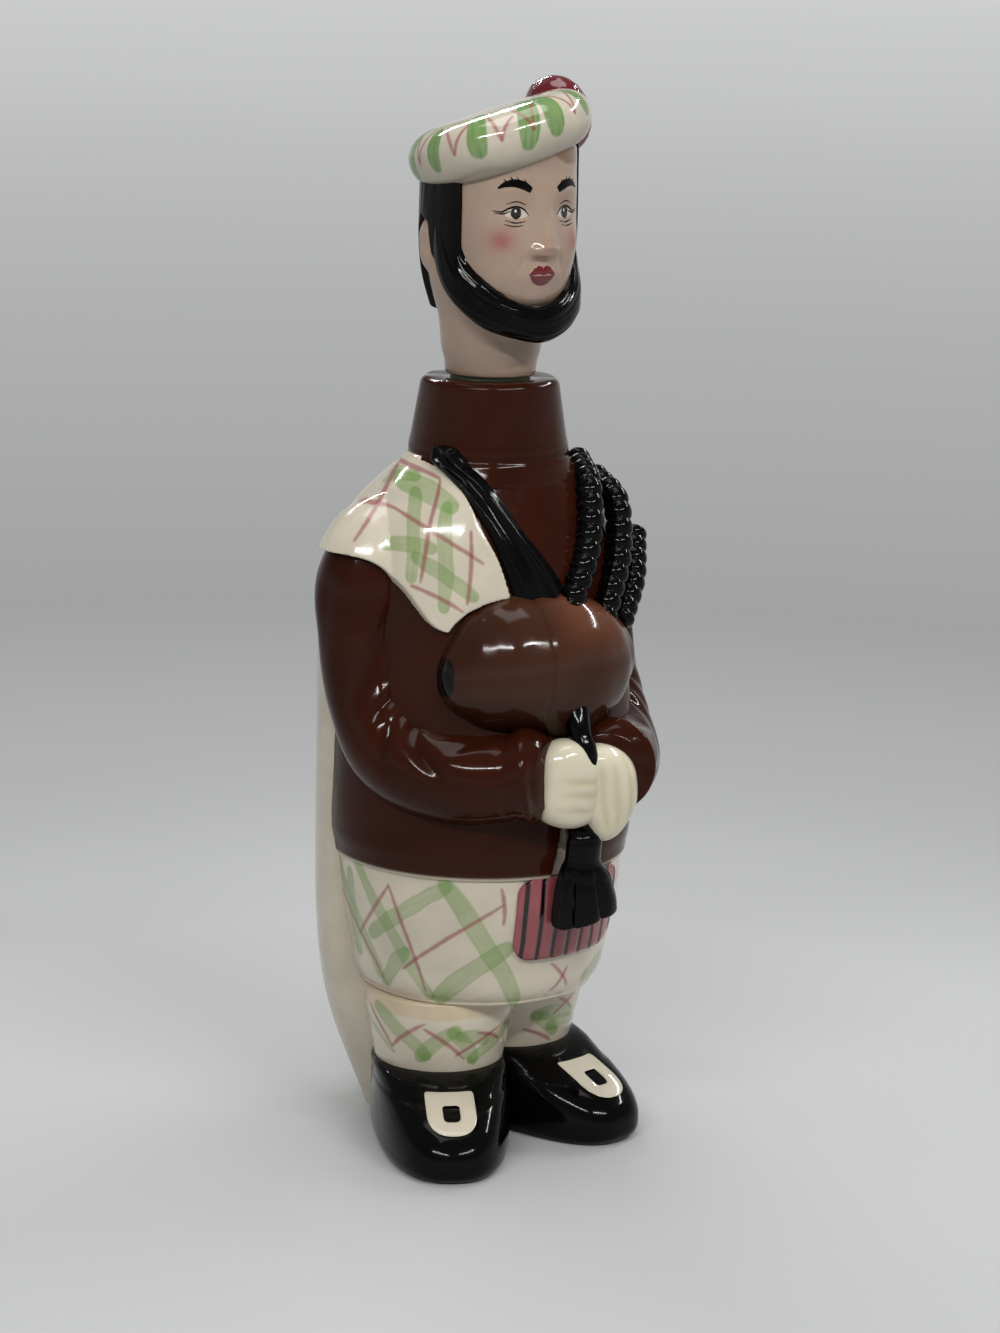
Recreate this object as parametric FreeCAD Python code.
import FreeCAD, Part
import math
import os

# Figural liquor decanter: a glazed ceramic piper whose head lifts out as the stopper.
# Millimetres, +Z up. The figure faces -Y and its right hand is at -X.
# Everything is drawn about the axis of the neck. At the end all pieces are moved together,
# so that the origin lies on the table under the middle of the whole.

# Heights, from the table up
LEG_HEIGHT = 42.0
KILT_HEIGHT = 38.0
JACKET_HEIGHT = 110.0
COLLAR_HEIGHT = 20.5
SEAL_THICKNESS = 2.5
HEAD_HEIGHT = 64.0

# Vessel: kilt, jacket and collar
WALL = 4.0
FLOOR_THICKNESS = 5.0
KILT_HALF_WIDTH = 40.5
KILT_FRONT = 39.5
KILT_BACK = 38.5
JACKET_HALF_WIDTH = 42.5
JACKET_FRONT = 41.0
JACKET_BACK = 39.0
COLLAR_BASE_RADIUS = 21.8
COLLAR_TOP_RADIUS = 19.0
COLLAR_EDGE_RADIUS = 2.0
COLLAR_LIP = 0.9
JACKET_SLIT_WIDTH = 9.0
JACKET_SLIT_HEIGHT = 16.0
JACKET_SLIT_DEPTH = 1.4

# Stopper: cork sleeve, seal ring and the stem under the head
NECK_BORE_RADIUS = 9.5
STOPPER_CLEARANCE = 0.05
STEM_RADIUS = 6.5
STEM_LENGTH = 20.5
CORK_LENGTH = 18.0
CORK_BEVEL = 1.0
SEAL_RADIUS = 10.8
STEM_BEVEL = 1.0

# Legs and shoes
LEG_RADIUS = 21.0
LEG_SPREAD = 14.3
LEG_STRIDE = 8.0
SHOE_HEIGHT = 22.0
SHOE_HALF_WIDTH = 18.6
SHOE_TOE = 47.5
SHOE_HEEL = 18.6
RIGHT_SPLAY_DEGREES = 27.0
LEFT_SPLAY_DEGREES = 10.0
BUCKLE_THICKNESS = 0.9
BUCKLE_WIDTH = 13.2
BUCKLE_HEIGHT = 14.2
BUCKLE_SLOT_WIDTH = 4.6
BUCKLE_SLOT_HEIGHT = 5.2
BUCKLE_LEAN_DEGREES = 50.0

# Back plaid: the cloth that hangs from the shoulders to the table
CAPE_HEIGHT = 186.0
CAPE_SETBACK = 20.0
CAPE_HALF_WIDTH = 41.0
CAPE_DEPTH = 30.5
CAPE_FOLD_DEPTH = 1.0
CAPE_FOLDS = 5

# Arms and hands
ARM_RADIUS = 13.4
HAND_HALF_WIDTH = 9.5
HAND_FRONT = 7.0
HAND_BACK = 8.0
HAND_HEIGHT = 25.0

# Pipes: bag, cross belt, drones, chanter and tassel
BAG_HALF_LENGTH = 29.0
BAG_HALF_DEPTH = 20.0
BAG_HALF_HEIGHT = 20.0
BELT_WIDTH = 8.5
BELT_THICKNESS = 2.4
BELT_RIDGE_WIDTH = 2.6
BELT_RIDGE_HEIGHT = 1.2
DRONE_RADIUS = 3.8
DRONE_BEAD_PITCH = 4.4
CHANTER_RADIUS = 3.0
TASSEL_LENGTH = 23.5
TASSEL_RADIUS = 8.6
TASSEL_GROOVES = 9
TASSEL_LEAN_DEGREES = 6.0

# Sporran and shoulder plaid, both laid on the body
SPORRAN_HALF_WIDTH = 17.5
SPORRAN_HEIGHT = 24.0
SPORRAN_CORNER = 6.0
SPORRAN_THICKNESS = 2.0
SPORRAN_OFFSET = 5.5
PLAID_THICKNESS = 2.0

# Head
HEAD_HALF_WIDTH = 19.5
HEAD_FRONT = 23.5
HEAD_BACK = 13.0
NOSE_HALF_WIDTH = 3.4
NOSE_HEIGHT = 4.2
HAIR_THICKNESS = 1.8
BEARD_HALF_WIDTH = 5.4
BEARD_HALF_DEPTH = 3.6
BERET_RADIUS = 25.3
BERET_HALF_HEIGHT = 6.6
BERET_CROWN = 1.2
BERET_LIFT = 61.7
BERET_SIDE_TILT_DEGREES = 16.0
BERET_FRONT_TILT_DEGREES = 12.4
POMPOM_RADIUS = 11.0
POMPOM_HALF_THICKNESS = 8.0

# Shared by all cuts and rings
OVERRUN = 60.0
RING_POINTS = 12
FOLDED_RING_POINTS = 32
BOX_FINENESS_SHARE = 0.01

# Shares of the jacket: height above the hem, half width, front depth, back depth
JACKET_RING_SHARES = (
    (0.000, 0.965, 0.976, 1.000),
    (0.064, 1.000, 1.000, 1.000),
    (0.245, 1.000, 1.000, 0.990),
    (0.455, 0.965, 0.927, 0.949),
    (0.618, 0.929, 0.829, 0.897),
    (0.764, 0.871, 0.744, 0.795),
    (0.873, 0.780, 0.634, 0.667),
    (0.950, 0.612, 0.561, 0.590),
    (1.000, 0.500, 0.518, 0.545),
)
# The hollow follows the jacket up to this row, then draws in to a tip inside the neck bore
JACKET_HOLLOW_ROWS = 7
HOLLOW_TIP_HEIGHT_SHARE = 0.985
HOLLOW_TIP_RADIUS_SHARE = 0.6

# Shares of the kilt: height above its hem, and one share for width and depths
KILT_RING_SHARES = (
    (0.00, 0.80),
    (0.06, 0.845),
    (0.30, 0.905),
    (0.65, 0.970),
    (1.00, 1.00),
)

# Shares of a leg: height, radius
LEG_RING_SHARES = (
    (0.22, 0.78),
    (0.50, 0.85),
    (0.70, 0.93),
    (0.86, 0.99),
    (1.00, 1.00),
)

# Shares of a shoe: height, half width, toe reach, heel reach
SHOE_RING_SHARES = (
    (0.00, 0.94, 0.955, 0.94),
    (0.10, 1.00, 1.000, 1.00),
    (0.30, 1.01, 1.000, 1.00),
    (0.52, 1.01, 0.925, 1.00),
    (0.74, 1.00, 0.745, 1.00),
    (0.90, 0.99, 0.545, 1.00),
    (1.00, 0.97, 0.410, 0.98),
)
SHOE_FULLNESS = 2.8
# Place of the buckle's middle along the toe and up the shoe
BUCKLE_PLACE_SHARES = (0.66, 0.68)
BUCKLE_SIDE_SHARE = 0.45

# Shares of the back plaid: height, setback, half width, depth behind, depth in front, fold depth
CAPE_RING_SHARES = (
    (0.00, 1.00, 0.53, 0.42, 0.42, 1.0),
    (0.07, 0.97, 0.67, 0.56, 0.56, 1.0),
    (0.15, 0.90, 0.82, 0.77, 0.50, 1.0),
    (0.27, 0.75, 0.96, 0.96, 0.35, 1.0),
    (0.45, 0.70, 1.00, 1.00, 0.35, 0.8),
    (0.78, 0.70, 1.00, 1.00, 0.35, 0.5),
    (0.89, 0.65, 0.94, 0.86, 0.40, 0.2),
    (0.96, 0.52, 0.76, 0.62, 0.50, 0.0),
    (1.00, 0.42, 0.58, 0.47, 0.50, 0.0),
)

# Shares along an arm: sideways and forward on the jacket, height on it, radius of the sleeve
ARM_RING_SHARES = (
    (0.50, -0.06, 0.850, 0.50),
    (0.72, -0.09, 0.800, 0.80),
    (0.835, -0.10, 0.700, 1.00),
    (0.860, -0.07, 0.564, 0.95),
    (0.850, 0.03, 0.418, 0.95),
    (0.795, 0.27, 0.295, 0.98),
    (0.610, 0.66, 0.250, 0.95),
    (0.410, 0.93, 0.262, 0.87),
    (0.245, 1.10, 0.276, 0.79),
    (0.225, 1.13, 0.277, 0.62),
)

# Middle of each hand, as shares of the jacket: sideways, forward, height
RIGHT_HAND_SHARES = (-0.030, 1.12, 0.245)
LEFT_HAND_SHARES = (0.235, 1.17, 0.218)
# Shares of a hand from its lower end: height, size; the swellings are the four fingers
HAND_RING_SHARES = (
    (0.00, 0.48),
    (0.05, 0.80),
    (0.13, 0.97),
    (0.25, 0.93),
    (0.38, 1.00),
    (0.50, 0.94),
    (0.62, 1.00),
    (0.75, 0.93),
    (0.87, 0.94),
    (0.95, 0.76),
    (1.00, 0.46),
)

# Middle of the bag on the jacket: sideways, forward, height
BAG_PLACE_SHARES = (-0.05, 0.68, 0.518)
# Shares along the bag from its right end: place, depth, height, lift
BAG_RING_SHARES = (
    (-1.00, 0.10, 0.12, 0.10),
    (-0.92, 0.36, 0.42, 0.07),
    (-0.72, 0.68, 0.76, 0.03),
    (-0.36, 0.95, 0.98, 0.00),
    (0.06, 1.00, 1.00, 0.00),
    (0.48, 0.90, 0.88, 0.02),
    (0.80, 0.62, 0.58, 0.08),
    (0.95, 0.34, 0.30, 0.12),
    (1.00, 0.10, 0.10, 0.14),
)

# The cross belt in the front view: sideways and height on the jacket, upper end to lower end
BELT_LINE_SHARES = ((-0.487, 1.030), (-0.09, 0.680))
BELT_FLARE_SHARE = 1.7
BELT_RIDGE_PLACE_SHARE = 0.30

# Path of each drone from the bag up over the left shoulder: share of the half width at that height,
# height, distance off the chest as a share of the drone's radius
DRONE_PATH_SHARES = {
    "drone_inner": ((0.10, 0.660, 0.55), (0.44, 0.800, 0.60), (0.71, 0.930, 0.65), (0.96, 0.968, 0.45)),
    "drone_middle": ((0.40, 0.630, 0.55), (0.64, 0.780, 0.95), (0.77, 0.880, 1.30), (0.97, 0.920, 0.95)),
    "drone_outer": ((0.62, 0.610, 0.60), (0.80, 0.690, 1.05), (0.93, 0.775, 1.65)),
}

# Chanter from the bag down into the tassel: sideways, forward and height on the jacket
CHANTER_LINE_SHARES = ((0.04, 1.03, 0.44), (0.11, 1.16, 0.100))

# Tassel, hung from the lower end of the chanter: height below that end and radius
TASSEL_RING_SHARES = (
    (0.00, 0.55),
    (0.06, 0.70),
    (0.22, 0.74),
    (0.34, 0.62),
    (0.44, 0.74),
    (0.70, 0.90),
    (0.96, 1.00),
    (1.00, 0.93),
)
TASSEL_GROOVE_SHARE = 0.06

# Lower edge of the shoulder plaid in the front view: sideways and height on the jacket
PLAID_EDGE_SHARES = (
    (-0.31, 0.680),
    (-0.47, 0.640),
    (-0.70, 0.610),
    (-0.85, 0.712),
    (-0.97, 0.760),
    (-1.09, 0.775),
    (-1.35, 0.745),
)
PLAID_REACH_SHARE = 0.25

# Shares of the head: height above its seat, half width, front depth, back depth; and how full the oval is
HEAD_RING_SHARES = (
    (0.000, 0.523, 0.434, 0.785, 2.0),
    (0.019, 0.595, 0.494, 0.892, 2.0),
    (0.047, 0.636, 0.528, 0.954, 2.0),
    (0.141, 0.697, 0.579, 1.046, 2.0),
    (0.234, 0.765, 0.690, 1.055, 2.1),
    (0.297, 0.835, 0.855, 1.050, 2.2),
    (0.391, 0.925, 0.960, 1.040, 2.3),
    (0.516, 0.988, 1.000, 1.030, 2.3),
    (0.672, 1.000, 1.000, 1.020, 2.3),
    (0.828, 1.000, 0.980, 1.000, 2.3),
    (0.938, 0.930, 0.880, 0.930, 2.2),
    (1.000, 0.700, 0.640, 0.700, 2.0),
)
# Shares of the nose: height on the head, half width, height of the ridge
NOSE_RING_SHARES = (
    (0.71, 0.40, 0.10),
    (0.63, 0.55, 0.50),
    (0.54, 0.95, 1.00),
    (0.505, 1.00, 0.92),
    (0.475, 0.60, 0.15),
)
# Hair in the side view: forward of the axis as a share of the head's front, height on the head
HAIR_SIDE_SHARES = (
    (0.48, 0.985),
    (0.50, 0.480),
    (0.30, 0.370),
    (0.06, 0.470),
    (0.00, 0.600),
    (-0.15, 0.630),
    (-0.25, 0.570),
    (-0.28, 0.420),
    (-0.40, 0.235),
    (-1.00, 0.235),
    (-1.00, 0.985),
)
# Beard from the ear to the chin: sideways, forward and height on the head, size of the roll
BEARD_PATH_SHARES = (
    (0.86, 0.20, 0.660, 0.70),
    (0.91, 0.24, 0.545, 0.95),
    (0.90, 0.36, 0.430, 1.00),
    (0.78, 0.60, 0.325, 0.98),
    (0.46, 0.83, 0.246, 0.90),
    (0.00, 0.94, 0.214, 0.84),
)
BERET_FLAT_SHARE = 0.80
BERET_FORWARD_SHARE = 0.14
BERET_ASIDE_SHARE = 0.06
# Middle of the pompom, as shares of the beret: sideways and back, up
POMPOM_PLACE_SHARES = (0.83, 0.05, 0.00)

# Heights worked out from the sizes above
KILT_HEM_Z = LEG_HEIGHT
JACKET_HEM_Z = KILT_HEM_Z + KILT_HEIGHT
COLLAR_SEAM_Z = JACKET_HEM_Z + JACKET_HEIGHT
NECK_TOP_Z = COLLAR_SEAM_Z + COLLAR_HEIGHT
HEAD_SEAT_Z = NECK_TOP_Z + SEAL_THICKNESS
STEM_BOTTOM_Z = HEAD_SEAT_Z - STEM_LENGTH


def vector(x, y, z):
    return FreeCAD.Vector(x, y, z)


ORIGIN = vector(0, 0, 0)
SIDE = vector(1, 0, 0)
UP = vector(0, 0, 1)


def largest_solid(shape):
    """The biggest solid of a result, without the crumbs that a cut can leave."""
    return max(shape.Solids, key=lambda solid: solid.Volume)


def cut_by(shape, cutters):
    """What is left of a solid outside all the cutters."""
    return largest_solid(shape.cut(cutters))


def smooth_ring(points):
    """Closed curve without corners through the points."""
    curve = Part.BSplineCurve()
    curve.interpolate(points, PeriodicFlag=True)
    return Part.Wire([curve.toShape()])


def loft(rings):
    """Smooth closed solid through the rings."""
    return Part.makeLoft(rings, True, False)


def level_ring(z, half_width, front, back, centre=(0.0, 0.0), fullness=2.0):
    """Level oval with its own depth in front and behind; a fullness over 2 squares it."""
    points = []
    for step in range(RING_POINTS):
        turn = 2 * math.pi * step / RING_POINTS
        across = math.copysign(abs(math.cos(turn)) ** (2 / fullness), math.cos(turn))
        along = math.copysign(abs(math.sin(turn)) ** (2 / fullness), math.sin(turn))
        depth = front if along > 0 else back
        points.append(vector(centre[0] + half_width * across, centre[1] - depth * along, z))
    return smooth_ring(points)


def ring_across(centre, along, reference, half_side, half_up):
    """Oval square to a path; its first half size lies square to the reference."""
    side = reference.cross(along).normalize()
    up = along.cross(side).normalize()
    points = []
    for step in range(RING_POINTS):
        turn = 2 * math.pi * step / RING_POINTS
        points.append(centre + side * (half_side * math.cos(turn)) + up * (half_up * math.sin(turn)))
    return smooth_ring(points)


def path_directions(points):
    """Direction of a path at each of its points."""
    directions = []
    for index in range(len(points)):
        before = points[max(index - 1, 0)]
        after = points[min(index + 1, len(points) - 1)]
        directions.append((after - before).normalize())
    return directions


def polygon_prism(points, sweep):
    """Straight prism on a closed polygon."""
    return Part.Face(Part.makePolygon(points + points[:1])).extrude(sweep)


def spline_edge(points):
    curve = Part.BSplineCurve()
    curve.interpolate(points)
    return curve.toShape()


def shares_at(table, height):
    """Row of a share table at any height, between the two rows beside it."""
    for low, high in zip(table, table[1:]):
        if height <= high[0]:
            break
    part = (height - low[0]) / (high[0] - low[0])
    return [a + part * (b - a) for a, b in zip(low, high)]


def on_jacket(sideways, forward, height):
    """Point given as shares of the jacket's half width, front depth and height."""
    return vector(JACKET_HALF_WIDTH * sideways, -JACKET_FRONT * forward,
                  JACKET_HEM_Z + JACKET_HEIGHT * height)


def chest_point(sideways, height, stand_off):
    """Point in front of the chest; sideways is a share of the half width at that height."""
    row = shares_at(JACKET_RING_SHARES, height)
    half_width = JACKET_HALF_WIDTH * row[1]
    front = JACKET_FRONT * row[2]
    x = half_width * sideways
    y = -front * math.sqrt(max(1 - sideways * sideways, 0))
    outward = vector(x / half_width ** 2, y / front ** 2, 0).normalize()
    return vector(x, y, JACKET_HEM_Z + JACKET_HEIGHT * height) + outward * stand_off


def jacket_form(grow):
    """The jacket up to the collar seam, filled, and grown or shrunk all round."""
    rings = []
    for height, width, front, back in JACKET_RING_SHARES:
        rings.append(level_ring(JACKET_HEM_Z + JACKET_HEIGHT * height, JACKET_HALF_WIDTH * width + grow,
                                JACKET_FRONT * front + grow, JACKET_BACK * back + grow))
    return loft(rings)


def jacket_hollow():
    """Room inside the jacket, drawn in to a tip that the neck bore runs through."""
    rings = []
    for height, width, front, back in JACKET_RING_SHARES[:JACKET_HOLLOW_ROWS]:
        rings.append(level_ring(JACKET_HEM_Z + JACKET_HEIGHT * height, JACKET_HALF_WIDTH * width - WALL,
                                JACKET_FRONT * front - WALL, JACKET_BACK * back - WALL))
    tip_z = JACKET_HEM_Z + JACKET_HEIGHT * HOLLOW_TIP_HEIGHT_SHARE
    tip = NECK_BORE_RADIUS * HOLLOW_TIP_RADIUS_SHARE
    rings.append(level_ring(tip_z, tip, tip, tip))
    bore_z = JACKET_HEM_Z + JACKET_HEIGHT * JACKET_RING_SHARES[JACKET_HOLLOW_ROWS - 1][0]
    bore = Part.makeCylinder(NECK_BORE_RADIUS, NECK_TOP_Z - bore_z + OVERRUN, vector(0, 0, bore_z))
    return loft(rings).fuse(bore)


def collar_form(grow=0.0):
    """Standing collar: turned, with a lip at the seam and a round top edge, and grown all round."""
    base = COLLAR_BASE_RADIUS + grow
    top = COLLAR_TOP_RADIUS + grow
    edge = COLLAR_EDGE_RADIUS
    round_share = 1 - math.sqrt(0.5)
    points = [
        vector(0, 0, COLLAR_SEAM_Z),
        vector(base - COLLAR_LIP, 0, COLLAR_SEAM_Z),
        vector(base - COLLAR_LIP * round_share, 0, COLLAR_SEAM_Z + COLLAR_LIP * round_share),
        vector(base, 0, COLLAR_SEAM_Z + COLLAR_LIP),
        vector(top, 0, NECK_TOP_Z - edge),
        vector(top - edge * round_share, 0, NECK_TOP_Z - edge * round_share),
        vector(top - edge, 0, NECK_TOP_Z),
        vector(0, 0, NECK_TOP_Z),
    ]
    edges = [
        Part.LineSegment(points[0], points[1]).toShape(),
        Part.Arc(points[1], points[2], points[3]).toShape(),
        Part.LineSegment(points[3], points[4]).toShape(),
        Part.Arc(points[4], points[5], points[6]).toShape(),
        Part.LineSegment(points[6], points[7]).toShape(),
        Part.LineSegment(points[7], points[0]).toShape(),
    ]
    return Part.Face(Part.Wire(edges)).revolve(ORIGIN, UP, 360)


def jacket_slit():
    """Shallow opening in the front hem, between the two halves of the jacket."""
    prism = polygon_prism([
        vector(-JACKET_SLIT_WIDTH / 2, 0, JACKET_HEM_Z - OVERRUN),
        vector(-JACKET_SLIT_WIDTH / 2, 0, JACKET_HEM_Z),
        vector(0, 0, JACKET_HEM_Z + JACKET_SLIT_HEIGHT),
        vector(JACKET_SLIT_WIDTH / 2, 0, JACKET_HEM_Z),
        vector(JACKET_SLIT_WIDTH / 2, 0, JACKET_HEM_Z - OVERRUN),
    ], vector(0, -JACKET_FRONT - OVERRUN, 0))
    return prism.cut(jacket_form(-JACKET_SLIT_DEPTH))


def kilt_form(grow, from_share=0.0):
    """The kilt from a share of its height up to the jacket, filled, grown or shrunk all round."""
    heights = [from_share] + [row[0] for row in KILT_RING_SHARES if row[0] > from_share]
    rings = []
    for height in heights:
        size = shares_at(KILT_RING_SHARES, height)[1]
        rings.append(level_ring(KILT_HEM_Z + KILT_HEIGHT * height, KILT_HALF_WIDTH * size + grow,
                                KILT_FRONT * size + grow, KILT_BACK * size + grow))
    return loft(rings)


def leg_place(side):
    """Middle of a leg in the plan; the right leg steps forward and the left one back."""
    return vector(side * LEG_SPREAD, side * LEG_STRIDE / 2, 0)


def leg_form(side):
    """One leg, cut square where it meets the other in the middle."""
    centre = leg_place(side)
    rings = []
    for height, size in LEG_RING_SHARES:
        radius = LEG_RADIUS * size
        rings.append(level_ring(LEG_HEIGHT * height, radius, radius, radius, (centre.x, centre.y)))
    return largest_solid(loft(rings).cut(half_space(-side)))


def half_space(side):
    """Large block that fills one side of the middle plane."""
    block = Part.makeBox(OVERRUN * 2, OVERRUN * 4, OVERRUN * 8, vector(0, -OVERRUN * 2, -OVERRUN * 2))
    return block if side > 0 else block.mirror(ORIGIN, SIDE)


def placed_shoe(shape, side):
    """Turn a shoe that points straight forward to its own side and set it under its leg."""
    splay = LEFT_SPLAY_DEGREES if side > 0 else -RIGHT_SPLAY_DEGREES
    shape.rotate(ORIGIN, UP, splay)
    shape.translate(leg_place(side))
    return shape


def shoe_form(side, grow):
    """One shoe, filled: round toe, full heel and a top that closes round the leg."""
    rings = []
    for height, width, toe, heel in SHOE_RING_SHARES:
        rings.append(level_ring(SHOE_HEIGHT * height, SHOE_HALF_WIDTH * width + grow, SHOE_TOE * toe + grow,
                                SHOE_HEEL * heel + grow, fullness=SHOE_FULLNESS))
    return placed_shoe(loft(rings), side).cut(half_space(-side))


def buckle_form(side):
    """Shield-shaped plate laid on the vamp, with a slot in its middle."""
    half = BUCKLE_WIDTH / 2
    shoulder = BUCKLE_HEIGHT * BUCKLE_SIDE_SHARE
    top = BUCKLE_HEIGHT / 2
    points = [vector(-half, top, 0), vector(half, top, 0), vector(half, top - shoulder, 0),
              vector(0, -top, 0), vector(-half, top - shoulder, 0)]
    edges = [
        Part.LineSegment(points[0], points[1]).toShape(),
        Part.LineSegment(points[1], points[2]).toShape(),
        Part.Arc(points[2], points[3], points[4]).toShape(),
        Part.LineSegment(points[4], points[0]).toShape(),
    ]
    shield = Part.Face(Part.Wire(edges)).extrude(UP * (2 * SHOE_TOE))
    slot = Part.makeBox(BUCKLE_SLOT_WIDTH, BUCKLE_SLOT_HEIGHT, 2 * SHOE_TOE,
                        vector(-BUCKLE_SLOT_WIDTH / 2, -BUCKLE_SLOT_HEIGHT / 2, 0))
    shield = shield.cut(slot)
    shield.translate(vector(0, 0, -SHOE_HEIGHT / 2))
    shield.rotate(ORIGIN, SIDE, BUCKLE_LEAN_DEGREES)
    shield.translate(vector(0, -SHOE_TOE * BUCKLE_PLACE_SHARES[0], SHOE_HEIGHT * BUCKLE_PLACE_SHARES[1]))
    shield = placed_shoe(shield, side)
    return largest_solid(shoe_form(side, BUCKLE_THICKNESS).common(shield).cut(shoe_form(side, 0.0)))


def cape_form():
    """Back plaid as a full column with soft upright folds behind, before the body is cut out of it."""
    rings = []
    for height, setback, width, behind, ahead, fold in CAPE_RING_SHARES:
        points = []
        for step in range(FOLDED_RING_POINTS):
            turn = 2 * math.pi * step / FOLDED_RING_POINTS
            backward = math.sin(turn)
            depth = CAPE_DEPTH * (behind if backward > 0 else ahead)
            swell = CAPE_FOLD_DEPTH * fold * max(backward, 0) * math.cos(2 * CAPE_FOLDS * turn)
            points.append(vector((CAPE_HALF_WIDTH * width + swell) * math.cos(turn),
                                 CAPE_SETBACK * setback + (depth + swell) * backward,
                                 CAPE_HEIGHT * height))
        rings.append(smooth_ring(points))
    return loft(rings)


def arm_form(side, grow):
    """One sleeve from the shoulder round the elbow to the cuff; the left one mirrors the right."""
    centres = []
    for sideways, forward, height, size in ARM_RING_SHARES:
        centres.append(on_jacket(-sideways, forward, height))
    reference = vector(-1, -1, 0)
    rings = []
    for centre, along, row in zip(centres, path_directions(centres), ARM_RING_SHARES):
        radius = ARM_RADIUS * row[3] + grow
        rings.append(ring_across(centre, along, reference, radius, radius))
    arm = loft(rings)
    return arm.mirror(ORIGIN, SIDE) if side > 0 else arm


def ellipsoid(centre, half_x, half_y, half_z):
    """Solid oval on the three axes."""
    matrix = FreeCAD.Matrix()
    matrix.scale(1, half_y / half_x, half_z / half_x)
    matrix.move(centre)
    return Part.makeSphere(half_x).transformGeometry(matrix)


def hand_form(place):
    """Closed hand: a mitt with a ridge for each finger, one above the other."""
    centre = on_jacket(*place)
    rings = []
    for height, size in HAND_RING_SHARES:
        rings.append(level_ring(centre.z + HAND_HEIGHT * (height - 0.5), HAND_HALF_WIDTH * size,
                                HAND_FRONT * size, HAND_BACK * size, (centre.x, centre.y)))
    return loft(rings)


def bag_form():
    """Pipe bag: a fat spindle across the chest, pointed at its right end."""
    centre = on_jacket(*BAG_PLACE_SHARES)
    rings = []
    for along, depth, height, lift in BAG_RING_SHARES:
        middle = centre + vector(BAG_HALF_LENGTH * along, 0, BAG_HALF_HEIGHT * lift)
        rings.append(ring_across(middle, SIDE, UP, BAG_HALF_DEPTH * depth, BAG_HALF_HEIGHT * height))
    return loft(rings)


def belt_strip(offset, half_top, half_bottom, height):
    """Part of the skin of chest and collar, of one height, under a tapered band in the front view."""
    top = on_jacket(BELT_LINE_SHARES[0][0], 0, BELT_LINE_SHARES[0][1])
    bottom = on_jacket(BELT_LINE_SHARES[1][0], 0, BELT_LINE_SHARES[1][1])
    across = (bottom - top).normalize().cross(vector(0, 1, 0))
    band = polygon_prism([
        top + across * (offset + half_top),
        bottom + across * (offset + half_bottom),
        bottom + across * (offset - half_bottom),
        top + across * (offset - half_top),
    ], vector(0, -JACKET_FRONT - OVERRUN, 0))
    return jacket_form(height).fuse(collar_form(height)).common(band)


def belt_form():
    """Cross belt on the chest: a flat band that widens at the bag, with a raised rib along each edge."""
    half = BELT_WIDTH / 2
    belt = belt_strip(0.0, half, half * BELT_FLARE_SHARE, BELT_THICKNESS)
    for side in (-1, 1):
        offset = side * BELT_WIDTH * BELT_RIDGE_PLACE_SHARE
        rib = BELT_RIDGE_WIDTH / 2
        belt = belt.fuse(belt_strip(offset, rib, rib, BELT_THICKNESS + BELT_RIDGE_HEIGHT))
    return belt


def drone_form(path):
    """Drone pipe that leans on the shoulder: round beads, strung evenly along a smooth path."""
    places = [chest_point(sideways, height, DRONE_RADIUS * off) for sideways, height, off in path]
    rail = spline_edge(places)
    beads = round(rail.Length / DRONE_BEAD_PITCH) + 1
    balls = [Part.makeSphere(DRONE_RADIUS, centre) for centre in rail.discretize(Number=beads)]
    return balls[0].fuse(balls[1:])


def chanter_form():
    """Straight pipe from the bag through the hands to the tassel."""
    top = on_jacket(*CHANTER_LINE_SHARES[0])
    bottom = on_jacket(*CHANTER_LINE_SHARES[1])
    return Part.makeCylinder(CHANTER_RADIUS, (top - bottom).Length, bottom, top - bottom)


def tassel_form():
    """Hanging tassel: a knob, a waist and a skirt of grooved strands."""
    rings = []
    for drop, size in TASSEL_RING_SHARES:
        points = []
        for step in range(4 * TASSEL_GROOVES):
            turn = 2 * math.pi * step / (4 * TASSEL_GROOVES)
            groove = 1 + TASSEL_GROOVE_SHARE * drop * math.cos(TASSEL_GROOVES * turn)
            radius = TASSEL_RADIUS * size * groove
            points.append(vector(radius * math.cos(turn), radius * math.sin(turn), -TASSEL_LENGTH * drop))
        rings.append(smooth_ring(points))
    tassel = loft(rings)
    tassel.rotate(ORIGIN, SIDE, TASSEL_LEAN_DEGREES)
    tassel.translate(on_jacket(*CHANTER_LINE_SHARES[1]))
    return tassel


def sporran_form():
    """Pouch laid on the front of the kilt, square at the top and round at its lower corners."""
    plate = Part.makeBox(2 * SPORRAN_HALF_WIDTH, KILT_FRONT + OVERRUN, SPORRAN_HEIGHT,
                         vector(SPORRAN_OFFSET - SPORRAN_HALF_WIDTH, -KILT_FRONT - OVERRUN,
                                JACKET_HEM_Z - SPORRAN_HEIGHT))
    lower = [edge for edge in plate.Edges
             if abs(edge.CenterOfMass.z - plate.BoundBox.ZMin) < SPORRAN_CORNER
             and abs(edge.tangentAt(edge.FirstParameter).y) > abs(edge.tangentAt(edge.FirstParameter).x)]
    plate = plate.makeFillet(SPORRAN_CORNER, lower)
    return kilt_form(SPORRAN_THICKNESS).common(plate).cut(kilt_form(0.0))


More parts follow.
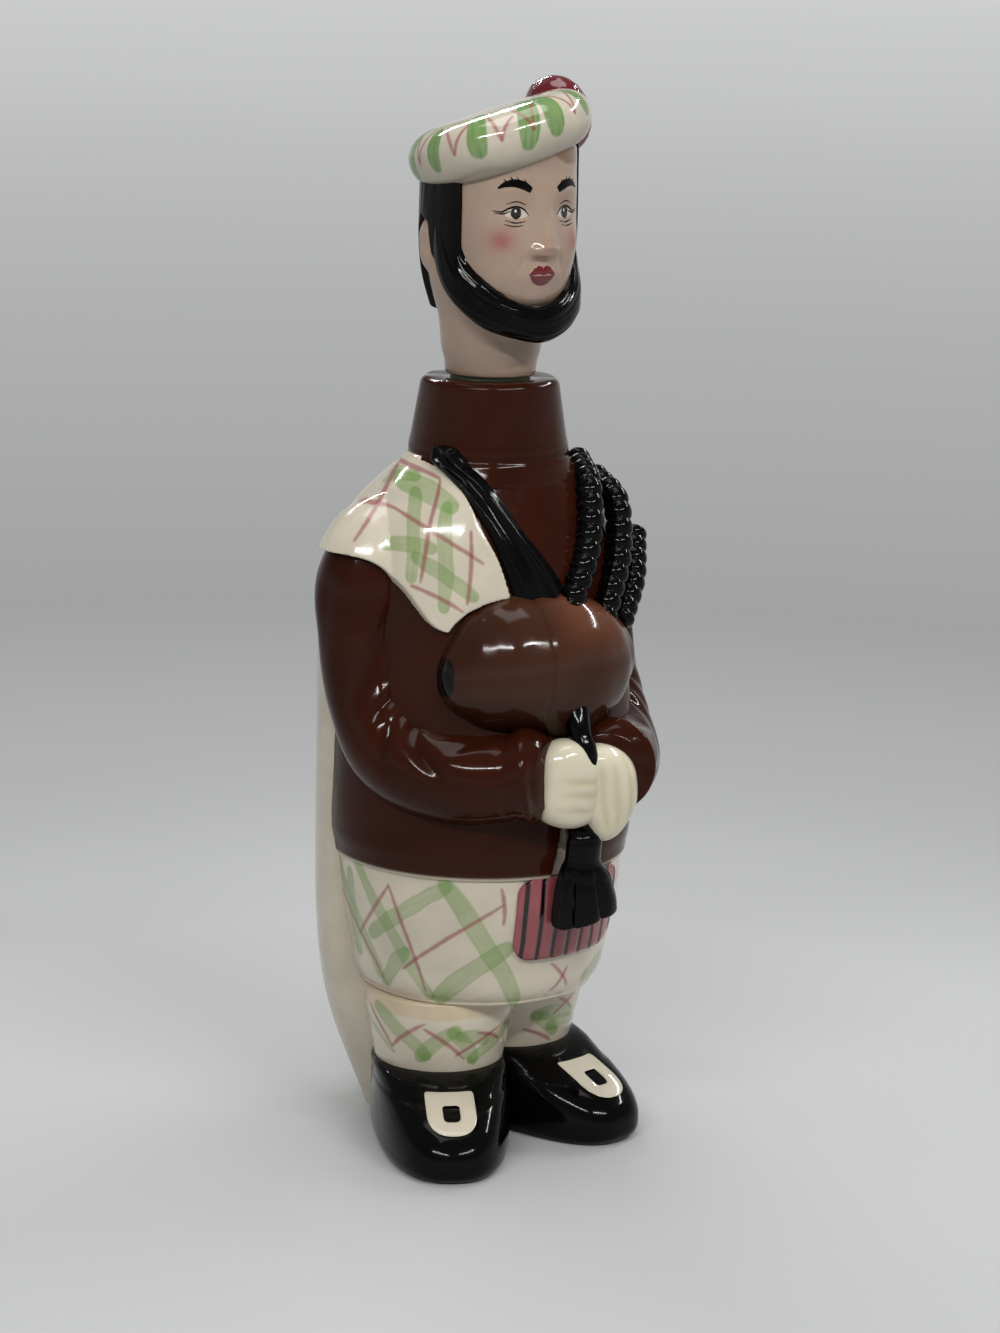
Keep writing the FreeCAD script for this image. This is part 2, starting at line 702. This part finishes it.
def shoulder_plaid_form(arm_skin):
    """Cloth over the right shoulder: the skin of chest and sleeve inside its outline."""
    edge = [on_jacket(sideways, 0, height) for sideways, height in PLAID_EDGE_SHARES]
    belt_top = on_jacket(BELT_LINE_SHARES[0][0], 0, BELT_LINE_SHARES[0][1])
    above = COLLAR_SEAM_Z + OVERRUN
    corners = [edge[-1], vector(edge[-1].x, 0, above), vector(belt_top.x, 0, above), belt_top, edge[0]]
    edges = [spline_edge(edge)]
    for start, end in zip(corners, corners[1:]):
        edges.append(Part.LineSegment(start, end).toShape())
    face = Part.Face(Part.Wire(edges))
    face.translate(vector(0, JACKET_BACK * PLAID_REACH_SHARE, 0))
    prism = face.extrude(vector(0, -JACKET_FRONT - OVERRUN, 0))
    skin = jacket_form(PLAID_THICKNESS).fuse(arm_skin)
    return skin.common(prism)


def head_form(grow):
    """Neck and head in one, filled, grown or shrunk all round."""
    rings = []
    for height, width, front, back, fullness in HEAD_RING_SHARES:
        rings.append(level_ring(HEAD_SEAT_Z + HEAD_HEIGHT * height, HEAD_HALF_WIDTH * width + grow,
                                HEAD_FRONT * front + grow, HEAD_BACK * back + grow, fullness=fullness))
    return loft(rings)


def nose_form():
    """Nose on the face: a narrow bridge that widens to the tip."""
    rings = []
    for height, width, ridge in NOSE_RING_SHARES:
        face_front = HEAD_FRONT * shares_at(HEAD_RING_SHARES, height)[2]
        half = NOSE_HALF_WIDTH * width
        rings.append(level_ring(HEAD_SEAT_Z + HEAD_HEIGHT * height, half, NOSE_HEIGHT * ridge + half, half,
                                (0.0, half - face_front)))
    return loft(rings)


def stem_form():
    """Round stem under the head, bevelled at its end."""
    stem = Part.makeCylinder(STEM_RADIUS, STEM_LENGTH + HAIR_THICKNESS, vector(0, 0, STEM_BOTTOM_Z))
    lower = [edge for edge in stem.Edges if edge.CenterOfMass.z < STEM_BOTTOM_Z + STEM_BEVEL
             and len(edge.Vertexes) == 1]
    return stem.makeChamfer(STEM_BEVEL, lower)


def beard_form():
    """Chin-strap beard: a soft roll from one ear round the chin to the other."""
    path = [(-x, y, z, size) for x, y, z, size in BEARD_PATH_SHARES[:-1]]
    path.extend(reversed(BEARD_PATH_SHARES))
    centres = []
    for sideways, forward, height, size in path:
        centres.append(vector(HEAD_HALF_WIDTH * sideways, -HEAD_FRONT * forward,
                              HEAD_SEAT_Z + HEAD_HEIGHT * height))
    rings = []
    for centre, along, row in zip(centres, path_directions(centres), path):
        outward = vector(centre.x, centre.y, 0).normalize()
        rings.append(ring_across(centre, along, outward, BEARD_HALF_WIDTH * row[3],
                                 BEARD_HALF_DEPTH * row[3]))
    return loft(rings)


def hair_form():
    """Hair of the sides and back, with the gap at the ear, and the beard."""
    outline = []
    for forward, height in HAIR_SIDE_SHARES:
        outline.append(vector(-OVERRUN, -HEAD_FRONT * forward, HEAD_SEAT_Z + HEAD_HEIGHT * height))
    prism = polygon_prism(outline, vector(2 * OVERRUN, 0, 0))
    return head_form(HAIR_THICKNESS).common(prism).fuse(beard_form())


def placed_beret(shape):
    """Set a shape drawn on the beret's own axis onto the tilted crown of the head."""
    shape.rotate(ORIGIN, vector(0, 1, 0), -BERET_SIDE_TILT_DEGREES)
    shape.rotate(ORIGIN, SIDE, -BERET_FRONT_TILT_DEGREES)
    shape.translate(vector(-HEAD_HALF_WIDTH * BERET_ASIDE_SHARE, -HEAD_FRONT * BERET_FORWARD_SHARE,
                           HEAD_SEAT_Z + BERET_LIFT))
    return shape


def beret_form():
    """Soft flat cap: turned, with a full round rim and a slightly domed crown."""
    flat = BERET_RADIUS * BERET_FLAT_SHARE
    dome_radius = (flat ** 2 + BERET_CROWN ** 2) / (2 * BERET_CROWN)
    dome_drop = dome_radius - math.sqrt(dome_radius ** 2 - flat ** 2 / 4)
    points = [
        vector(0, 0, -BERET_HALF_HEIGHT),
        vector(flat, 0, -BERET_HALF_HEIGHT),
        vector(BERET_RADIUS, 0, 0),
        vector(flat, 0, BERET_HALF_HEIGHT),
        vector(flat / 2, 0, BERET_HALF_HEIGHT + BERET_CROWN - dome_drop),
        vector(0, 0, BERET_HALF_HEIGHT + BERET_CROWN),
    ]
    edges = [
        Part.LineSegment(points[0], points[1]).toShape(),
        Part.Arc(points[1], points[2], points[3]).toShape(),
        Part.Arc(points[3], points[4], points[5]).toShape(),
        Part.LineSegment(points[5], points[0]).toShape(),
    ]
    return placed_beret(Part.Face(Part.Wire(edges)).revolve(ORIGIN, UP, 360))


def pompom_form():
    """Flattened tuft on the upper side of the beret."""
    place = vector(BERET_RADIUS * POMPOM_PLACE_SHARES[0], BERET_RADIUS * POMPOM_PLACE_SHARES[1],
                   BERET_HALF_HEIGHT * POMPOM_PLACE_SHARES[2])
    return placed_beret(ellipsoid(place, POMPOM_HALF_THICKNESS, POMPOM_RADIUS, POMPOM_RADIUS))


def vessel_pieces():
    """Jacket and kilt, hollow and open to each other."""
    jacket = jacket_form(0.0).fuse(collar_form())
    jacket = cut_by(jacket, [jacket_hollow(), jacket_slit()])
    kilt = cut_by(kilt_form(0.0), [kilt_form(-WALL, FLOOR_THICKNESS / KILT_HEIGHT)])
    return {"jacket_shell": jacket, "kilt_shell": kilt}


def stopper_pieces():
    """Cork sleeve in the neck and the seal ring on the collar, both round the stem."""
    hole_radius = STEM_RADIUS + STOPPER_CLEARANCE
    cork_bottom = NECK_TOP_Z - CORK_LENGTH
    cork = Part.makeCylinder(NECK_BORE_RADIUS - STOPPER_CLEARANCE, CORK_LENGTH, vector(0, 0, cork_bottom))
    rim = [edge for edge in cork.Edges if edge.CenterOfMass.z < cork_bottom + CORK_BEVEL
           and len(edge.Vertexes) == 1]
    cork = cork.makeChamfer(CORK_BEVEL, rim)
    ring = Part.makeCylinder(SEAL_RADIUS, SEAL_THICKNESS, vector(0, 0, NECK_TOP_Z))
    hole = Part.makeCylinder(hole_radius, 2 * OVERRUN, vector(0, 0, NECK_TOP_Z - OVERRUN))
    return {"cork_sleeve": cut_by(cork, [hole]), "seal_ring": cut_by(ring, [hole])}


def head_pieces():
    """Head with its stem, hair and beard, beret and pompom."""
    beret = beret_form()
    head = cut_by(head_form(0.0).fuse([nose_form(), stem_form()]), [beret])
    hair = cut_by(hair_form(), [head, beret])
    pompom = cut_by(pompom_form(), [beret, head, hair])
    return {"head": head, "hair_and_beard": hair, "beret": beret, "pompom": pompom}


def figure_pieces():
    """All that is luted on the vessel, each piece cut to seat on what lies under it."""
    body = [largest_solid(jacket_form(0.0).fuse([collar_form(), kilt_form(0.0)]))]
    pipe = [chanter_form()]
    pieces = {}
    arms = {}
    for name, side in (("right", -1), ("left", 1)):
        leg = leg_form(side)
        pieces[name + "_leg"] = leg
        pieces[name + "_shoe"] = cut_by(shoe_form(side, 0.0), [leg])
        pieces[name + "_buckle"] = buckle_form(side)
        arms[name] = cut_by(arm_form(side, 0.0), body + pipe)
        pieces[name + "_arm"] = arms[name]
    both_arms = [arms["right"], arms["left"]]
    bag = cut_by(bag_form(), body + both_arms)
    pieces["pipe_bag"] = bag
    belt = cut_by(belt_form(), body + [bag])
    pieces["cross_belt"] = belt
    laid = []
    for name, path in DRONE_PATH_SHARES.items():
        drone = cut_by(drone_form(path), body + both_arms + [bag] + laid)
        pieces[name] = drone
        laid.append(drone)
    plaid = cut_by(shoulder_plaid_form(arm_form(-1, PLAID_THICKNESS)), body + [arms["right"], bag, belt])
    pieces["shoulder_plaid"] = plaid
    chanter = cut_by(pipe[0], body + [bag])
    pieces["chanter"] = chanter
    right_hand = cut_by(hand_form(RIGHT_HAND_SHARES), body + both_arms + [chanter, bag])
    left_hand = cut_by(hand_form(LEFT_HAND_SHARES), body + both_arms + [chanter, bag, right_hand])
    pieces["right_hand"] = right_hand
    pieces["left_hand"] = left_hand
    sporran = cut_by(sporran_form(), body)
    pieces["sporran"] = sporran
    pieces["tassel"] = cut_by(tassel_form(), body + [sporran, chanter])
    below = [pieces[name] for name in ("right_leg", "left_leg", "right_shoe", "left_shoe")]
    pieces["back_plaid"] = cut_by(cape_form(), body + both_arms + below + [plaid])
    return pieces


def main():
    os.makedirs("parts", exist_ok=True)
    pieces = vessel_pieces()
    pieces.update(figure_pieces())
    pieces.update(stopper_pieces())
    pieces.update(head_pieces())
    points = Part.makeCompound(list(pieces.values())).tessellate(WALL * BOX_FINENESS_SHARE)[0]
    shift = vector(-(min(p.x for p in points) + max(p.x for p in points)) / 2,
                   -(min(p.y for p in points) + max(p.y for p in points)) / 2, 0)
    print("stopper axis at", round(shift.x, 3), round(shift.y, 3))
    for name, piece in pieces.items():
        piece.translate(shift)
        piece.exportStep("parts/" + name + ".step")


if __name__ == "__main__":
    main()
